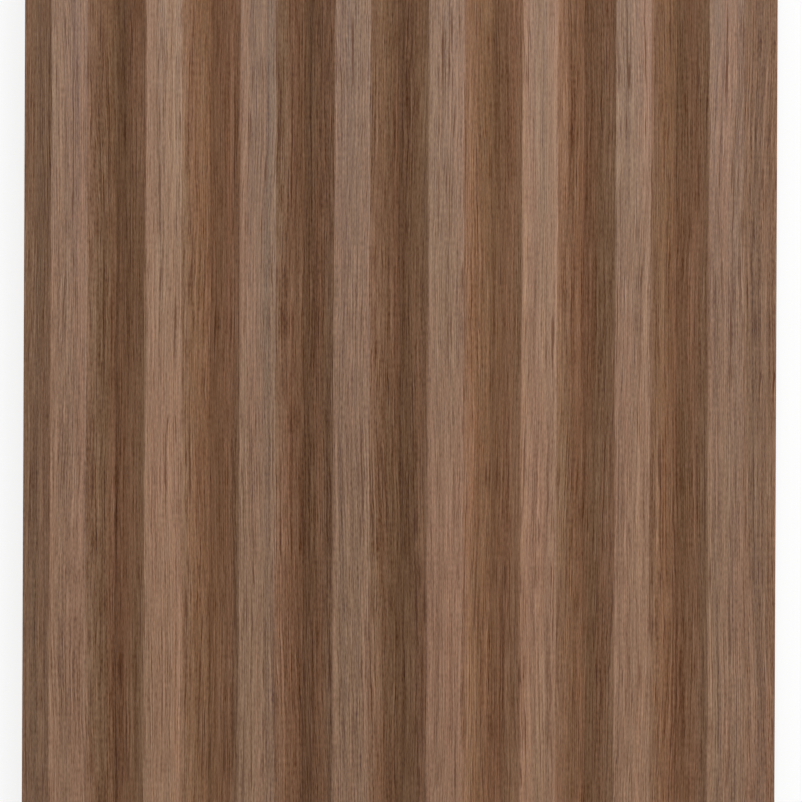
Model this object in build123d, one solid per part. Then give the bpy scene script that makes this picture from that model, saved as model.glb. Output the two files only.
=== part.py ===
from build123d import *
import os

# Fluted wall panel: one board with trapezoid ridges that run its whole length. A tongue stands out of
# one long edge and the groove that takes a neighbour's tongue is cut into the other.
# X runs across the panel and Z up its length. The back lies in the plane y = 0 and the ridges face -Y.

# Board, in millimetres
panel_length = 1200.0
base_thickness = 8.8  # from the back to the bottom of the valleys

# Ridges
ridge_count = 8
ridge_pitch = 30.0
ridge_top_width = 11.3  # between the top corners, before they are rounded
ridge_height = 9.2  # from the bottom of the valleys to the ridge tops
ridge_radius = 1.0

# Joint between neighbours
tongue_length = 3.0
tongue_thickness = 4.0
tongue_nose_radius = 0.5
tongue_clearance = 0.15  # on each face of the tongue, inside the groove
groove_end_gap = 0.4  # past the tip of a seated tongue
joint_gap = 0.6  # left open between two seated panels
edge_radius = 0.5

# Places in the section that follow from the sizes above
half_cover = ridge_count * ridge_pitch / 2
flank_run = (ridge_pitch - ridge_top_width) / 2
valley_y = -base_thickness
top_y = valley_y - ridge_height
groove_edge_x = -half_cover + joint_gap
groove_edge_y = valley_y - joint_gap * ridge_height / flank_run
groove_bottom_x = -half_cover + tongue_length + groove_end_gap
groove_thickness = tongue_thickness + 2 * tongue_clearance
joint_y = valley_y / 2


def ridge_points(index):
    """Both top corners of one ridge and the valley to its right."""
    left = -half_cover + index * ridge_pitch
    return [
        (left + flank_run, top_y),
        (left + flank_run + ridge_top_width, top_y),
        (left + ridge_pitch, valley_y),
    ]


def vertices_at(section, axis, position):
    """The section's corners that lie at one position along an axis, in order across the panel."""
    tolerance = 1e-4
    found = section.vertices().filter_by_position(axis, position - tolerance, position + tolerance)
    return found.sort_by(Axis.X)


def panel_section():
    """The panel's cross-section, seen from above."""
    outline = [(groove_edge_x, 0), (groove_edge_x, groove_edge_y)]
    for index in range(ridge_count):
        outline += ridge_points(index)
    outline.append((half_cover, 0))

    with BuildSketch() as section:
        with BuildLine():
            Polyline(*outline, close=True)
        make_face()

        # The flutes: rounded ridge tops, and valleys left sharp as a pointed cutter makes them
        fillet(vertices_at(section, Axis.Y, top_y), ridge_radius)

        # The eased edges on both sides of a joint
        fillet(vertices_at(section, Axis.Y, valley_y)[-1], edge_radius)
        fillet(vertices_at(section, Axis.Y, groove_edge_y)[0], edge_radius)

        # Tongue and groove, in the middle of the board under the valleys
        with Locations((half_cover, joint_y)):
            Rectangle(tongue_length, tongue_thickness, align=(Align.MIN, Align.CENTER))
        fillet(vertices_at(section, Axis.X, half_cover + tongue_length), tongue_nose_radius)
        with Locations((groove_bottom_x, joint_y)):
            Rectangle(
                groove_bottom_x + half_cover,
                groove_thickness,
                align=(Align.MAX, Align.CENTER),
                mode=Mode.SUBTRACT,
            )
    return section.sketch


def panel():
    """The section run up the whole length, half of it above the origin and half below."""
    return extrude(panel_section(), panel_length / 2, both=True)


os.makedirs("parts", exist_ok=True)
export_step(panel(), "parts/panel.step")
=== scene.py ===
import math

import bpy
import numpy as np
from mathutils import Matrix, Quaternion, Vector


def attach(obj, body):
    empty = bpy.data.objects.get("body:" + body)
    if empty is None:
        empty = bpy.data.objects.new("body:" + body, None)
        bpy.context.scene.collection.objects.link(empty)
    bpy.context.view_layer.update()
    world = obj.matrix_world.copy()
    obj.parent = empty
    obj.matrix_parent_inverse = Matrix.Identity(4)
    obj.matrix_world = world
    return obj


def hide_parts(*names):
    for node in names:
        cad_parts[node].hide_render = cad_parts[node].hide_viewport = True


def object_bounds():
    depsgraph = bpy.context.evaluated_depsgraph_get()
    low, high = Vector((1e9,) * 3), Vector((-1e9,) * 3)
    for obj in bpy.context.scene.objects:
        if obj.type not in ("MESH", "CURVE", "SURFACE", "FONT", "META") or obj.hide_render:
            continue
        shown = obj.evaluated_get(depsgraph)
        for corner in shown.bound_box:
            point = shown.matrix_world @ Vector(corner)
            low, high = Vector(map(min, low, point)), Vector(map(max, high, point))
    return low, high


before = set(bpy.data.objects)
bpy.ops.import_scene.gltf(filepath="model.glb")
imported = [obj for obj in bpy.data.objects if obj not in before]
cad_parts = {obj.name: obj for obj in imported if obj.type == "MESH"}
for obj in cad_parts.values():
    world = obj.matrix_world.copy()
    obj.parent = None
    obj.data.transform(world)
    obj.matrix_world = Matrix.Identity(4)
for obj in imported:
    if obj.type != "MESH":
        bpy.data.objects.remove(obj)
cadLow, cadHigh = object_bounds()
mm = 0.001
noiseLow, noiseMiddle, noiseHigh = 0.3, 0.5, 0.7  # most values of a noise lie between the outer two


def linearColour(hexText):
    channels = [int(hexText[i:i + 2], 16) / 255 for i in (1, 3, 5)]
    return (*[c / 12.92 if c <= 0.04045 else ((c + 0.055) / 1.055) ** 2.4 for c in channels], 1.0)


# adds a node; an input may be a value, a socket or another node, which gives its first output
def addNode(tree, kind, inputs=None, **settings):
    node = tree.nodes.new(kind)
    for name, value in settings.items():
        setattr(node, name, value)
    for name, value in (inputs or {}).items():
        if isinstance(value, bpy.types.Node):
            value = value.outputs[0]
        if isinstance(value, bpy.types.NodeSocket):
            tree.links.new(value, node.inputs[name])
        else:
            node.inputs[name].default_value = value
    return node


def newMaterial(name):
    material = bpy.data.materials.new(name)
    material.use_nodes = True
    material.node_tree.nodes.clear()
    return material, material.node_tree


# Brown oak under a satin lacquer, planed along the grain: long hair-fine fibres and rows of thin open pores
# run up the board, red-brown drifts into olive-brown, and the flat ridge tops take a soft pale sheen. The
# finest fibres and pores are drawn about twice as coarse as in real oak, where they would not show.
oakFace = {
    "name": "oak_brown_satin",
    "redBrown": "#856047",
    "oliveBrown": "#816147",
    "poreBrown": "#4e2408",
    "toneTint": (0.76, 1.0, 1.25),  # how far red, green and blue follow fine grain: dark hairs are warmer
    "darkest": 0.1,  # no tone falls below this
    "ringLean": -0.12,  # mm that a growth ring shifts across the board for each mm of depth
    "hueDrift": (7.0, 150.0),  # size in mm across and along the grain
    # each noise: size in mm across and along the grain, then how strongly it shows
    "fleck": (0.29, 1.5, 0.72),
    "hair": (0.29, 10.0, 0.90),
    "fibre": (0.30, 60.0, 1.20),
    "streak": (1.7, 300.0, 0.22),
    "growthRing": (3.4, 600.0, 0.32),
    "poreRow": (2.0, 170.0, 0.12),
    "pore": (0.36, 16.0, 0.62),
    "longPore": (0.38, 44.0, 0.62),
    # each bend: size in mm across and along the grain, then how far the grain wanders, in mm
    "slowBend": (38.0, 210.0, 3.0),
    "fineBend": (8.0, 60.0, 0.7),
    "poreWave": (1.4, 8.0, 0.26),
    "poreCut": (0.81, 0.88),  # noise level where a pore begins and where it is full
    # slow waves of tone across the face, the wood's own drifts and, on the last slope at the right, partly
    # painted shade: length and start in mm, strength
    "toneWaves": ((160.0, 14.0, 0.095), (86.0, 19.5, 0.12), (79.0, -13.0, 0.095), (53.0, 23.0, 0.06)),
    "slopeGrain": (0.3, 2.0, 0.12),  # stronger fine grain on the slopes: from and to mm of depth, gain
    "ridgeHighlight": (4.7, 1.4, 0.07),  # painted highlight along both ridge corners: mm from a ridge's middle, half width, strength
    "poreDepth": 0.05,  # mm
    "bump": 0.5,
    "roughness": 0.33,
    "roughSpread": 0.05,  # how far the roughness wanders either way
    "poreRough": 0.6,  # how much rougher a pore is, which leaves it dull
    "shine": 0.41,
}
# The tongue, groove, edges and back of the same oak under one thin coat: as brown, but duller
oakThin = dict(
    oakFace,
    name="oak_brown_thin_coat",
    ringLean=0.6,
    toneWaves=(),
    ridgeHighlight=(4.7, 1.4, 0.0),
    roughness=0.55,
    shine=0.24,
)
# The sawn ends: the rings of the face run on through the thickness between rows of open pores, seen as dark
# dots, and pale rays cross them. The dots are drawn three times as wide as real ones, to show at all.
oakEnd = dict(
    oakFace,
    name="oak_end_grain",
    depthTone=0.85,  # a sawn end is darker than the face
    ringShow=2.2,  # rings and streaks are that much stronger
    poreDot=(0.9, 0.18, 0.30),  # spacing in mm, then the dark middle and the rim as shares of it
    poreDark=0.7,
    poreBand=(0.42, 0.58),  # row noise where dots begin and where they are full
    ray=(16.0, 0.45, 0.22),
    bump=0.4,
    roughness=0.85,
    roughSpread=0.1,
    shine=0.05,
)


# noise drawn out along the grain, its size in mm; the offset picks a stretch of noise of its own
def grainNoise(tree, place, size, detail, offset):
    scaled = addNode(tree, "ShaderNodeVectorMath", {0: place, 1: (1 / size[0], 1 / size[1], 0),
                                                    2: (offset, offset, 0)}, operation="MULTIPLY_ADD")
    return addNode(tree, "ShaderNodeTexNoise", {"Vector": scaled, "Scale": 1.0, "Detail": detail},
                   noise_dimensions="2D")


# where a spot lies across the rings and along the grain, in mm, with the grain's own wandering
def grainPlace(tree, look):
    spot = addNode(tree, "ShaderNodeSeparateXYZ", {0: addNode(tree, "ShaderNodeTexCoord").outputs["Object"]})
    leaning = addNode(tree, "ShaderNodeMath", {0: spot.outputs["Y"], 1: look["ringLean"],
                                               2: spot.outputs["X"]}, operation="MULTIPLY_ADD")
    flat = addNode(tree, "ShaderNodeCombineXYZ", {"X": leaning, "Y": spot.outputs["Z"]})
    place = addNode(tree, "ShaderNodeVectorMath", {0: flat, "Scale": 1 / mm}, operation="SCALE")
    bent = place
    for offset, bend in ((3.1, look["slowBend"]), (10.8, look["fineBend"]), (17.3, look["poreWave"])):
        swing = grainNoise(tree, place, bend, 1.0, offset)
        reach = addNode(tree, "ShaderNodeMapRange", {"Value": swing, "To Min": -bend[2], "To Max": bend[2]},
                        clamp=False)
        shift = addNode(tree, "ShaderNodeCombineXYZ", {"X": reach})
        bent = addNode(tree, "ShaderNodeVectorMath", {0: bent, 1: shift})
    return spot, bent


# lightens and darkens by one noise; gives the new tone and the noise
def addTone(tree, look, bent, tone, name, offset, share=1.0):
    noise = grainNoise(tree, bent, look[name], 0.0, offset)
    part = addNode(tree, "ShaderNodeMath", {0: noise, 1: noiseMiddle}, operation="SUBTRACT")
    return addNode(tree, "ShaderNodeMath", {0: part, 1: look[name][2] * share, 2: tone},
                   operation="MULTIPLY_ADD"), noise


# waves across the board, then rings and streaks; gives the tone and the streaks' noise
def slowTone(tree, look, bent):
    across = addNode(tree, "ShaderNodeSeparateXYZ", {0: bent})
    tone = 1.0
    for length, start, strength in look["toneWaves"]:
        turn = addNode(tree, "ShaderNodeMapRange", {"Value": across, "From Min": start,
                                                    "From Max": start + length, "To Max": 2 * math.pi},
                       clamp=False)
        wave = addNode(tree, "ShaderNodeMath", {0: turn}, operation="SINE")
        tone = addNode(tree, "ShaderNodeMath", {0: wave, 1: strength, 2: tone}, operation="MULTIPLY_ADD")
    tone, _ = addTone(tree, look, bent, tone, "growthRing", 31.0)
    return addTone(tree, look, bent, tone, "streak", 37.0)


# fibres, hairs and flecks, stronger below the ridge tops, where the lacquer is thinner; gives tone and hairs
def fineTone(tree, look, spot, bent):
    tone, _ = addTone(tree, look, bent, 0.0, "fibre", 43.0)
    tone, hair = addTone(tree, look, bent, tone, "hair", 47.0)
    tone, _ = addTone(tree, look, bent, tone, "fleck", 53.0)
    start, end, gain = look["slopeGrain"]
    growth = addNode(tree, "ShaderNodeMapRange", {"Value": spot.outputs["Y"],
                                                  "From Min": cadLow.y + start * mm,
                                                  "From Max": cadLow.y + end * mm, "To Min": 1.0,
                                                  "To Max": 1.0 + gain})
    return addNode(tree, "ShaderNodeMath", {0: tone, 1: growth}, operation="MULTIPLY"), hair


# a painted highlight: a paler line along both corners of a ridge
def ridgeHighlightTone(tree, look, spot, pitch):
    highlightAt, width, strength = look["ridgeHighlight"]
    away = addNode(tree, "ShaderNodeMath", {0: spot.outputs["X"], 1: pitch / 2 * mm}, operation="SUBTRACT")
    away = addNode(tree, "ShaderNodeMath", {0: away, 1: pitch / 2 * mm}, operation="PINGPONG")
    away = addNode(tree, "ShaderNodeMath", {0: away, 1: highlightAt * mm}, operation="SUBTRACT")
    away = addNode(tree, "ShaderNodeMath", {0: away}, operation="ABSOLUTE")
    return addNode(tree, "ShaderNodeMapRange", {"Value": away, "From Max": width * mm, "To Min": strength,
                                                "To Max": 0.0}, interpolation_type="SMOOTHSTEP")


# pores stand one above the other in rows that follow the rings
def poreMask(tree, look, bent):
    row = grainNoise(tree, bent, look["poreRow"], 0.0, 67.0)
    crowd = look["poreRow"][2]
    crowding = addNode(tree, "ShaderNodeMapRange", {"Value": row, "From Min": noiseLow, "From Max": noiseHigh,
                                                    "To Min": -crowd, "To Max": crowd})
    begin, full = look["poreCut"]
    pores = 0.0
    for offset, name in ((59.0, "pore"), (71.0, "longPore")):
        noise = grainNoise(tree, bent, look[name], 0.0, offset)
        crowded = addNode(tree, "ShaderNodeMath", {0: noise, 1: crowding})
        mask = addNode(tree, "ShaderNodeMapRange", {"Value": crowded, "From Min": begin, "From Max": full,
                                                    "To Max": look[name][2]}, interpolation_type="SMOOTHSTEP")
        pores = addNode(tree, "ShaderNodeMath", {0: mask, 1: pores}, operation="MAXIMUM")
    return pores


# red-brown drifting into olive-brown, under a slow tone and a fine one, with pores in it
def oakColour(tree, look, bent, slow, fine, pores):
    hue = grainNoise(tree, bent, look["hueDrift"], 1.0, 11.0)
    hueMix = addNode(tree, "ShaderNodeMapRange", {"Value": hue, "From Min": noiseLow, "From Max": noiseHigh})
    wood = addNode(tree, "ShaderNodeMix", {"Factor": hueMix, 6: linearColour(look["redBrown"]),
                                           7: linearColour(look["oliveBrown"])}, data_type="RGBA")
    tint = addNode(tree, "ShaderNodeVectorMath", {0: fine, 1: look["toneTint"], 2: slow},
                   operation="MULTIPLY_ADD")
    tint = addNode(tree, "ShaderNodeVectorMath", {0: tint, 1: (look["darkest"],) * 3}, operation="MAXIMUM")
    toned = addNode(tree, "ShaderNodeVectorMath", {0: wood.outputs[2], 1: tint}, operation="MULTIPLY")
    colour = addNode(tree, "ShaderNodeMix", {"Factor": pores, 6: toned,
                                             7: linearColour(look["poreBrown"])}, data_type="RGBA")
    return colour.outputs[2]


# what both oaks end in: colour and roughness over a shallow relief
def oakSurface(tree, look, colour, height, rough):
    bump = addNode(tree, "ShaderNodeBump", {"Height": height, "Strength": look["bump"],
                                            "Distance": look["poreDepth"] * mm})
    shader = addNode(tree, "ShaderNodeBsdfPrincipled", {"Base Color": colour, "Roughness": rough,
                                                        "Specular IOR Level": look["shine"], "Normal": bump})
    addNode(tree, "ShaderNodeOutputMaterial", {"Surface": shader})


def makeOak(look, pitch):
    material, tree = newMaterial(look["name"])
    spot, bent = grainPlace(tree, look)
    slow, streak = slowTone(tree, look, bent)
    fine, hair = fineTone(tree, look, spot, bent)
    # the slow tone takes the painted highlight along the ridge corners
    slow = addNode(tree, "ShaderNodeMath", {0: slow, 1: ridgeHighlightTone(tree, look, spot, pitch)})
    pores = poreMask(tree, look, bent)
    colour = oakColour(tree, look, bent, slow, fine, pores)
    height = addNode(tree, "ShaderNodeMath", {0: hair, 1: pores}, operation="SUBTRACT")
    rough = addNode(tree, "ShaderNodeMapRange", {"Value": streak, "From Min": noiseLow, "From Max": noiseHigh,
                                                 "To Min": look["roughness"] - look["roughSpread"],
                                                 "To Max": look["roughness"] + look["roughSpread"]})
    rough = addNode(tree, "ShaderNodeMath", {0: pores, 1: look["poreRough"], 2: rough},
                    operation="MULTIPLY_ADD")
    oakSurface(tree, look, colour, height, rough)
    return material


def makeEndGrain(look):
    material, tree = newMaterial(look["name"])
    spot, bent = grainPlace(tree, look)
    tone, ring = addTone(tree, look, bent, look["depthTone"], "growthRing", 31.0, look["ringShow"])
    tone, _ = addTone(tree, look, bent, tone, "streak", 37.0, look["ringShow"])
    sawn = addNode(tree, "ShaderNodeCombineXYZ", {"X": spot.outputs["X"], "Y": spot.outputs["Y"]})
    sawn = addNode(tree, "ShaderNodeVectorMath", {0: sawn, "Scale": 1 / mm}, operation="SCALE")
    tone, _ = addTone(tree, look, sawn, tone, "ray", 23.0)

    # dots, kept to the rows where the face has its pores
    spacing, middle, rim = look["poreDot"]
    dotPlace = addNode(tree, "ShaderNodeVectorMath", {0: sawn, "Scale": 1 / spacing}, operation="SCALE")
    dots = addNode(tree, "ShaderNodeTexVoronoi", {"Vector": dotPlace, "Scale": 1.0}, voronoi_dimensions="2D")
    dot = addNode(tree, "ShaderNodeMapRange", {"Value": dots, "From Min": middle, "From Max": rim,
                                               "To Min": look["poreDark"], "To Max": 0.0})
    row = grainNoise(tree, bent, look["poreRow"], 0.0, 67.0)
    inRow = addNode(tree, "ShaderNodeMapRange", {"Value": row, "From Min": look["poreBand"][0],
                                                 "From Max": look["poreBand"][1]})
    pores = addNode(tree, "ShaderNodeMath", {0: dot, 1: inRow}, operation="MULTIPLY")
    colour = oakColour(tree, look, bent, tone, (0, 0, 0), pores)
    rough = addNode(tree, "ShaderNodeMapRange", {"Value": ring,
                                                 "To Min": look["roughness"] - look["roughSpread"],
                                                 "To Max": look["roughness"] + look["roughSpread"]})
    oakSurface(tree, look, colour, tone, rough)
    return material


# The panel: ridges side by side, closed behind by an edge rail and swept up the length; lengths are in mm
panelSizes = {
    "ridges": 8,
    "pitch": 30.0,
    "topWidth": 11.3,
    "ridgeHeight": 9.2,
    "ridgeRadius": 1.0,
    "edgeRadius": 0.5,
    "jointGap": 0.6,
    "tongueLength": 3.0,
    "tongueThickness": 4.0,
    "tongueNose": 0.5,
    "tongueClearance": 0.15,
    "grooveEndGap": 0.4,
    "arcSteps": 8,  # points that round a corner
    "rows": 24,  # of faces, up the length
    "weld": 0.001,  # points closer than this are one
    "sharpFrom": 28.0,  # degrees between faces
}


# tongue, back, groove and left edge, from the last valley round to the first ridge
def edgeRail(sizes):
    half = sizes["ridges"] * sizes["pitch"] / 2
    base = -cadLow.y / mm - sizes["ridgeHeight"]
    run = (sizes["pitch"] - sizes["topWidth"]) / 2
    left = -half + sizes["jointGap"]
    leftEdge = base + sizes["jointGap"] * sizes["ridgeHeight"] / run
    tip = half + sizes["tongueLength"]
    bottom = left + sizes["tongueLength"] - sizes["jointGap"] + sizes["grooveEndGap"]
    tongue = sizes["tongueThickness"] / 2
    groove = tongue + sizes["tongueClearance"]
    rail = [  # across, out from the wall, corner radius
        (half, base, sizes["edgeRadius"]),
        (half, base / 2 + tongue, 0),
        (tip, base / 2 + tongue, sizes["tongueNose"]),
        (tip, base / 2 - tongue, sizes["tongueNose"]),
        (half, base / 2 - tongue, 0),
        (half, 0, 0),
        (left, 0, 0),
        (left, base / 2 - groove, 0),
        (bottom, base / 2 - groove, 0),
        (bottom, base / 2 + groove, 0),
        (left, base / 2 + groove, 0),
        (left, leftEdge, sizes["edgeRadius"]),
        (-half + run, base + sizes["ridgeHeight"], sizes["ridgeRadius"]),
    ]
    mesh = bpy.data.meshes.new("edgeRail")
    mesh.from_pydata([(x * mm, -out * mm, 0) for x, out, _ in rail],
                     [(i, i + 1) for i in range(len(rail) - 1)], [])
    rounding = mesh.attributes.new("rounding", "FLOAT", "POINT")
    rounding.data.foreach_set("value", [radius * mm for _, _, radius in rail])
    return mesh


# three points to a ridge: its two top corners, then the valley to its right
def ridgeLine(tree, given):
    count = addNode(tree, "ShaderNodeMath", {0: given["Ridges"], 1: 3}, operation="MULTIPLY")
    line = addNode(tree, "GeometryNodeMeshLine", {"Count": count})
    index = addNode(tree, "GeometryNodeInputIndex")
    corner = addNode(tree, "ShaderNodeMath", {0: index, 1: 3}, operation="MODULO")
    rightOf = addNode(tree, "ShaderNodeMath", {0: corner, 1: 1}, operation="MINIMUM")
    inValley = addNode(tree, "ShaderNodeMath", {0: corner, 1: 1.5}, operation="GREATER_THAN")
    third = addNode(tree, "ShaderNodeMath", {0: index, 1: 3}, operation="DIVIDE")
    ridge = addNode(tree, "ShaderNodeMath", {0: third}, operation="FLOOR")
    halfCount = addNode(tree, "ShaderNodeMath", {0: given["Ridges"], 1: -0.5}, operation="MULTIPLY")
    place = addNode(tree, "ShaderNodeMath", {0: ridge, 1: halfCount})
    slopes = addNode(tree, "ShaderNodeMath", {0: given["Pitch"], 1: given["Top Width"]}, operation="SUBTRACT")
    run = addNode(tree, "ShaderNodeMath", {0: slopes, 1: 0.5}, operation="MULTIPLY")
    x = addNode(tree, "ShaderNodeMath", {0: place, 1: given["Pitch"], 2: run}, operation="MULTIPLY_ADD")
    x = addNode(tree, "ShaderNodeMath", {0: rightOf, 1: given["Top Width"], 2: x}, operation="MULTIPLY_ADD")
    x = addNode(tree, "ShaderNodeMath", {0: inValley, 1: run, 2: x}, operation="MULTIPLY_ADD")
    full = addNode(tree, "ShaderNodeMath", {0: given["Base"], 1: given["Ridge Height"]})
    out = addNode(tree, "GeometryNodeSwitch", {"Switch": inValley, "False": full, "True": given["Base"]},
                  input_type="FLOAT")
    y = addNode(tree, "ShaderNodeMath", {0: out, 1: -1}, operation="MULTIPLY")
    spot = addNode(tree, "ShaderNodeCombineXYZ", {"X": x, "Y": y})

    # valleys are sharp, apart from the last, which is the eased edge over the tongue
    lastIndex = addNode(tree, "ShaderNodeMath", {0: count, 1: 1.5}, operation="SUBTRACT")
    isLast = addNode(tree, "ShaderNodeMath", {0: index, 1: lastIndex}, operation="GREATER_THAN")
    valleyRound = addNode(tree, "GeometryNodeSwitch", {"Switch": isLast, "True": given["Edge Radius"]},
                          input_type="FLOAT")
    rounding = addNode(tree, "GeometryNodeSwitch", {"Switch": inValley, "False": given["Ridge Radius"],
                                                    "True": valleyRound}, input_type="FLOAT")
    ridges = addNode(tree, "GeometryNodeSetPosition", {"Geometry": line, "Position": spot})
    return addNode(tree, "GeometryNodeStoreNamedAttribute", {"Geometry": ridges, "Name": "rounding",
                                                             "Value": rounding},
                   data_type="FLOAT", domain="POINT")


# the section run up the length, with closed ends
def sweepSection(tree, given, section):
    top = addNode(tree, "ShaderNodeMath", {0: given["Length"], 1: 0.5}, operation="MULTIPLY")
    foot = addNode(tree, "ShaderNodeMath", {0: given["Length"], 1: -0.5}, operation="MULTIPLY")
    low = addNode(tree, "ShaderNodeCombineXYZ", {"Z": foot})
    high = addNode(tree, "ShaderNodeCombineXYZ", {"Z": top})
    path = addNode(tree, "GeometryNodeCurvePrimitiveLine", {"Start": low, "End": high})
    steps = addNode(tree, "GeometryNodeResampleCurve", {"Curve": path, "Count": given["Rows"]}, mode="COUNT")
    return addNode(tree, "GeometryNodeCurveToMesh", {"Curve": steps, "Profile Curve": section,
                                                     "Fill Caps": True})


# lacquer on the face, a thin coat behind the valleys, and end grain where a face looks up or down
def coatBoard(tree, given, board):
    centre = addNode(tree, "ShaderNodeSeparateXYZ", {0: addNode(tree, "GeometryNodeInputPosition")})
    behind = addNode(tree, "ShaderNodeMath", {0: given["Edge Radius"], 1: given["Base"]},
                     operation="SUBTRACT")
    isThin = addNode(tree, "ShaderNodeMath", {0: centre.outputs["Y"], 1: behind}, operation="GREATER_THAN")
    normal = addNode(tree, "ShaderNodeSeparateXYZ", {0: addNode(tree, "GeometryNodeInputNormal")})
    steep = addNode(tree, "ShaderNodeMath", {0: normal.outputs["Z"]}, operation="ABSOLUTE")
    endSteepness = 0.9
    isEnd = addNode(tree, "ShaderNodeMath", {0: steep, 1: endSteepness}, operation="GREATER_THAN")
    coated = addNode(tree, "GeometryNodeSetMaterial", {"Geometry": board, "Material": given["Face"]})
    coated = addNode(tree, "GeometryNodeSetMaterial", {"Geometry": coated, "Selection": isThin,
                                                       "Material": given["Thin"]})
    return addNode(tree, "GeometryNodeSetMaterial", {"Geometry": coated, "Selection": isEnd,
                                                     "Material": given["Ends"]})


def flutedTree():
    tree = bpy.data.node_groups.new("flutedBoard", "GeometryNodeTree")
    kinds = {"Geometry": "Geometry", "Ridges": "Int", "Arc Steps": "Int", "Rows": "Int", "Pitch": "Float",
             "Top Width": "Float", "Ridge Height": "Float", "Base": "Float", "Ridge Radius": "Float",
             "Edge Radius": "Float", "Weld": "Float", "Length": "Float", "Face": "Material",
             "Thin": "Material", "Ends": "Material"}
    sockets = {}
    for name, kind in kinds.items():
        socket = tree.interface.new_socket(name, in_out="INPUT", socket_type="NodeSocket" + kind)
        sockets[name] = socket.identifier
    tree.interface.new_socket("Geometry", in_out="OUTPUT", socket_type="NodeSocketGeometry")
    given = addNode(tree, "NodeGroupInput").outputs

    # ridges and rail close into one section, whose corners are then rounded
    joined = addNode(tree, "GeometryNodeJoinGeometry", {0: given["Geometry"]})
    tree.links.new(ridgeLine(tree, given).outputs[0], joined.inputs[0])
    loop = addNode(tree, "GeometryNodeMergeByDistance", {"Geometry": joined, "Distance": given["Weld"]})
    section = addNode(tree, "GeometryNodeMeshToCurve", {"Mesh": loop})
    radius = addNode(tree, "GeometryNodeInputNamedAttribute", {"Name": "rounding"}, data_type="FLOAT")
    rounded = addNode(tree, "GeometryNodeFilletCurve", {"Curve": section, "Radius": radius,
                                                        "Count": given["Arc Steps"]}, mode="POLY")
    swept = sweepSection(tree, given, rounded)
    real = addNode(tree, "GeometryNodeRealizeInstances", {"Geometry": swept})
    addNode(tree, "NodeGroupOutput", {"Geometry": coatBoard(tree, given, real)})
    return tree, sockets


def makePanel(sizes, face, thin, ends):
    panel = bpy.data.objects.new("fluted_panel", edgeRail(sizes))
    bpy.context.scene.collection.objects.link(panel)
    tree, sockets = flutedTree()
    modifier = panel.modifiers.new("flutedBoard", "NODES")
    modifier.node_group = tree
    values = {
        "Ridges": sizes["ridges"], "Arc Steps": sizes["arcSteps"], "Rows": sizes["rows"] + 1,
        "Pitch": sizes["pitch"] * mm, "Top Width": sizes["topWidth"] * mm,
        "Ridge Height": sizes["ridgeHeight"] * mm, "Base": -cadLow.y - sizes["ridgeHeight"] * mm,
        "Ridge Radius": sizes["ridgeRadius"] * mm, "Edge Radius": sizes["edgeRadius"] * mm,
        "Weld": sizes["weld"] * mm, "Length": cadHigh.z - cadLow.z, "Face": face, "Thin": thin, "Ends": ends,
    }
    for name, value in values.items():
        modifier[sockets[name]] = value
    evaluated = panel.evaluated_get(bpy.context.evaluated_depsgraph_get())
    panel.data = bpy.data.meshes.new_from_object(evaluated)
    panel.modifiers.clear()
    panel.data.shade_smooth()
    panel.data.set_sharp_from_angle(angle=math.radians(sizes["sharpFrom"]))
    return panel


# "OFBake" lays the section out flat: the front has most of the sheet, then the back, then the two ends
bakeSheet = {
    "front": (0.004, 0.832),
    "back": (0.840, 0.958),
    "foot": (0.966, 0.978),
    "top": (0.985, 0.997),
    "long": (0.004, 0.996),  # the way that the panel's length, or an end's width, runs
    "near": 1e-7,  # m within which two places are the same
}


def unwrapPanel(panel, sizes, sheet):
    mesh = panel.data
    points = np.empty(len(mesh.vertices) * 3)
    mesh.vertices.foreach_get("co", points)
    points = points.reshape(-1, 3)
    low, span = points.min(axis=0), np.ptp(points, axis=0)
    around = len(points) // (sizes["rows"] + 1)
    section = points[:around, :2]
    seam = int(np.argmin(np.abs(section - (low[0], 0)).sum(axis=1)))  # the back's left corner
    ordered = np.roll(section, -seam, axis=0)
    steps = np.hypot(*(np.roll(ordered, -1, axis=0) - ordered).T)
    along = np.concatenate([[0], np.cumsum(steps)])
    frontEnd = along[around] - np.ptp(section[section[:, 1] > -sheet["near"], 0])
    corners = np.empty(len(mesh.loops), dtype=int)
    mesh.loops.foreach_get("vertex_index", corners)
    column = (corners % around - seam) % around
    longStart, longEnd = sheet["long"]
    spots = np.zeros((len(corners), 2))
    for polygon in mesh.polygons:
        loops = np.arange(polygon.loop_start, polygon.loop_start + polygon.loop_total)
        share = (points[corners[loops]] - low) / span
        if polygon.loop_total > 4:  # an end
            start, end = sheet["foot" if polygon.normal.z < 0 else "top"]
            spots[loops, 0] = end - share[:, 1] * (end - start)
            spots[loops, 1] = longStart + share[:, 0] * (longEnd - longStart)
            continue
        place = along[column[loops]]
        if np.ptp(column[loops]) > 1:  # the last column, which runs on to the seam
            place[column[loops] == 0] = along[around]
        isBack = place.min() > frontEnd - sheet["near"]
        start, end = sheet["back" if isBack else "front"]
        part = (place - frontEnd) / (along[around] - frontEnd) if isBack else place / frontEnd
        spots[loops, 0] = start + part * (end - start)
        spots[loops, 1] = longStart + share[:, 2] * (longEnd - longStart)
    mesh.uv_layers.new(name="OFBake").data.foreach_set("uv", spots.ravel())


face = makeOak(oakFace, panelSizes["pitch"])
thin = makeOak(oakThin, panelSizes["pitch"])
ends = makeEndGrain(oakEnd)
print("materials:", face.name, thin.name, ends.name)
panel = makePanel(panelSizes, face, thin, ends)
unwrapPanel(panel, panelSizes, bakeSheet)
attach(panel, "root")
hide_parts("panel")
print("panel:", len(panel.data.vertices), "points", len(panel.data.polygons), "faces")

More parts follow.
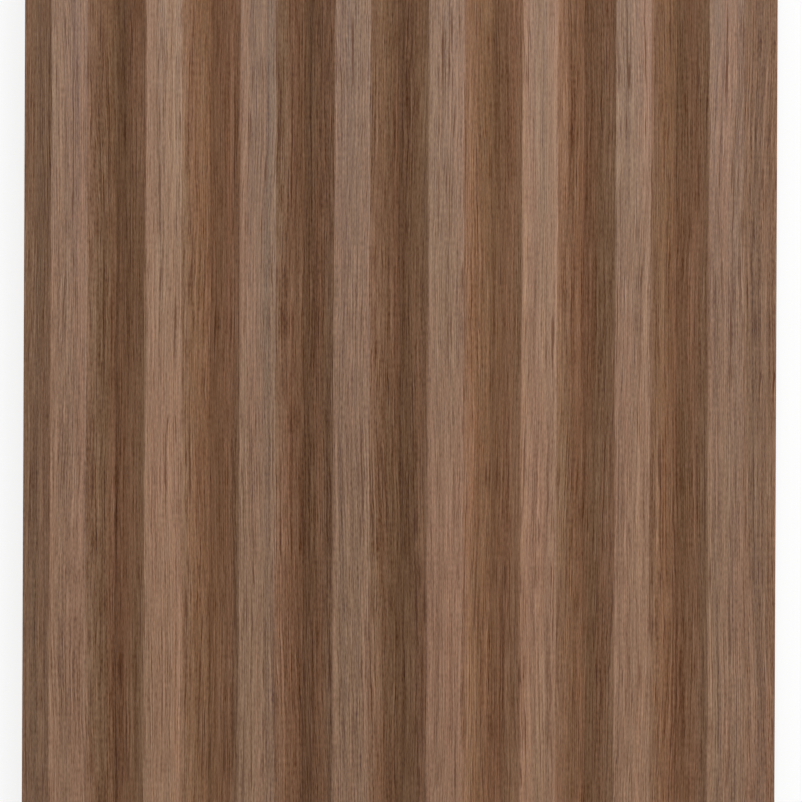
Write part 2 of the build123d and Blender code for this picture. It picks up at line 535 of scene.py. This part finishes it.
# Stage: a white wall behind, seen only from the front, a pale floor under the lower end, and a grey card at
# each side that shows in reflections alone and softens the sheen on the flanks
stageLook = {
    "wallGlow": 0.79,
    "wallColour": "#7f7f7f",
    "wallReach": 4.0,  # m to each side and up
    "wallGap": 1.0,  # mm behind the panel
    "floorGlow": 0.80,
    "floorColour": "#7c7b79",
    "floorReach": 20.0,  # m to each side
    "floorGap": 0.1,  # mm below the panel
    "leftCard": 0.3,
    "rightCard": 0.35,
    "cardDistance": 0.6,  # m
    "cardSize": (0.9, 1.4),  # m deep and high
}


# paint with a glow of its own, so that the stage is white with little light on it
def glowingPaint(tree, glow, colour):
    ownLight = addNode(tree, "ShaderNodeEmission", {"Strength": glow})
    paint = addNode(tree, "ShaderNodeBsdfDiffuse", {"Color": linearColour(colour)})
    return addNode(tree, "ShaderNodeAddShader", {0: ownLight, 1: paint})


def addSheet(name, material, corners):
    mesh = bpy.data.meshes.new(name)
    mesh.from_pydata(corners, [], [(0, 1, 2, 3)])
    mesh.materials.append(material)
    thing = bpy.data.objects.new(name, mesh)
    bpy.context.scene.collection.objects.link(thing)
    return thing


def makeWall(look):
    material, tree = newMaterial("studio_wall")
    lit = glowingPaint(tree, look["wallGlow"], look["wallColour"])
    rays = addNode(tree, "ShaderNodeLightPath")
    side = addNode(tree, "ShaderNodeNewGeometry")
    front = addNode(tree, "ShaderNodeMath", {0: 1, 1: side.outputs["Backfacing"]}, operation="SUBTRACT")
    seen = addNode(tree, "ShaderNodeMath", {0: rays.outputs["Is Camera Ray"], 1: front}, operation="MULTIPLY")
    clear = addNode(tree, "ShaderNodeBsdfTransparent")
    shown = addNode(tree, "ShaderNodeMixShader", {0: seen, 1: clear, 2: lit})
    addNode(tree, "ShaderNodeOutputMaterial", {"Surface": shown})
    y, foot, reach = cadHigh.y + look["wallGap"] * mm, cadLow.z, look["wallReach"]
    addSheet("wall", material, [(-reach, y, foot), (reach, y, foot), (reach, y, reach), (-reach, y, reach)])


def makeFloor(look):
    material, tree = newMaterial("studio_floor")
    lit = glowingPaint(tree, look["floorGlow"], look["floorColour"])
    addNode(tree, "ShaderNodeOutputMaterial", {"Surface": lit})
    z, reach = cadLow.z - look["floorGap"] * mm, look["floorReach"]
    addSheet("floor", material, [(-reach, -reach, z), (reach, -reach, z), (reach, reach, z),
                                 (-reach, reach, z)])


def makeCard(look, name, x):
    material, tree = newMaterial("studio_" + name)
    ownLight = addNode(tree, "ShaderNodeEmission", {"Strength": look[name]})
    addNode(tree, "ShaderNodeOutputMaterial", {"Surface": ownLight})
    depth, height = [size / 2 for size in look["cardSize"]]
    card = addSheet(name, material, [(x, -depth, -height), (x, depth, -height), (x, depth, height),
                                     (x, -depth, height)])
    card.visible_camera = card.visible_diffuse = card.visible_transmission = card.visible_shadow = False


makeWall(stageLook)
makeFloor(stageLook)
makeCard(stageLook, "leftCard", -stageLook["cardDistance"])
makeCard(stageLook, "rightCard", stageLook["cardDistance"])
print("stage: wall, floor and cards")

# Light: a soft lamp high in front, one to its right, a strip at each side, one lamp behind, a dim white room
lightLook = {
    "lamps": {  # degrees to the right and up, distance in m, width and height in m, watts
        "frontLamp": ((0.0, 18.0), 2.0, (1.6, 0.8), 10.2),
        "rightLamp": ((36.0, 14.0), 2.0, (0.9, 0.9), 10.0),
        "rightStrip": ((78.0, 5.0), 2.0, (0.8, 1.1), 6.0),
        "leftStrip": ((-58.0, 5.0), 2.0, (0.8, 1.1), 0.3),
        "rearLamp": ((205.0, 42.0), 2.4, (1.0, 1.0), 38.0),
    },
    "room": 0.14,  # to the eye and in reflections the room is plain white
}


def addLamp(name, angle, distance, size, power):
    right, up = [math.radians(a) for a in angle]
    lamp = bpy.data.lights.new(name, "AREA")
    lamp.shape = "RECTANGLE"
    lamp.size, lamp.size_y = size
    lamp.energy = power
    thing = bpy.data.objects.new(name, lamp)
    away = Vector((math.sin(right) * math.cos(up), -math.cos(right) * math.cos(up), math.sin(up)))
    thing.location = away * distance
    thing.rotation_euler = (-away).to_track_quat("-Z", "Y").to_euler()
    thing.visible_camera = False
    bpy.context.scene.collection.objects.link(thing)


def makeRoom(brightness):
    world = bpy.data.worlds.new("room")
    world.use_nodes = True
    tree = world.node_tree
    tree.nodes.clear()
    rays = addNode(tree, "ShaderNodeLightPath")
    seen = rays.outputs["Is Camera Ray"]
    for ray in ("Is Glossy Ray", "Is Transmission Ray"):
        seen = addNode(tree, "ShaderNodeMath", {0: seen, 1: rays.outputs[ray]}, operation="MAXIMUM")
    strength = addNode(tree, "ShaderNodeMapRange", {"Value": seen, "To Min": brightness, "To Max": 1.0})
    sky = addNode(tree, "ShaderNodeBackground", {"Color": (1, 1, 1, 1), "Strength": strength})
    addNode(tree, "ShaderNodeOutputWorld", {"Surface": sky})
    bpy.context.scene.world = world


for lampName, lampLook in lightLook["lamps"].items():
    addLamp(lampName, *lampLook)
makeRoom(lightLook["room"])
print("light:", len(lightLook["lamps"]), "lamps and the room")

# Camera: level with the middle, left of centre, looking in from 1.3 m
cameraLook = {
    "place": (-0.0685, -1.318, 0.0),
    "target": (0.0009, -0.018, 0.0),
    "lens": 183.3,
    "sensor": 36.0,
    "roll": 0.24,  # degrees
    "clipEnd": 100.0,
}


def makeCamera(look):
    camera = bpy.data.cameras.new("camera")
    camera.lens = look["lens"]
    camera.sensor_width = look["sensor"]
    camera.clip_end = look["clipEnd"]
    thing = bpy.data.objects.new("camera", camera)
    thing.location = look["place"]
    aim = (Vector(look["target"]) - Vector(look["place"])).to_track_quat("-Z", "Y")
    thing.rotation_euler = (aim @ Quaternion((0, 0, 1), math.radians(look["roll"]))).to_euler()
    bpy.context.scene.collection.objects.link(thing)
    bpy.context.scene.camera = thing


makeCamera(cameraLook)
print("camera:", cameraLook["lens"], "mm lens")
bpy.context.scene.view_settings.view_transform = "Standard"
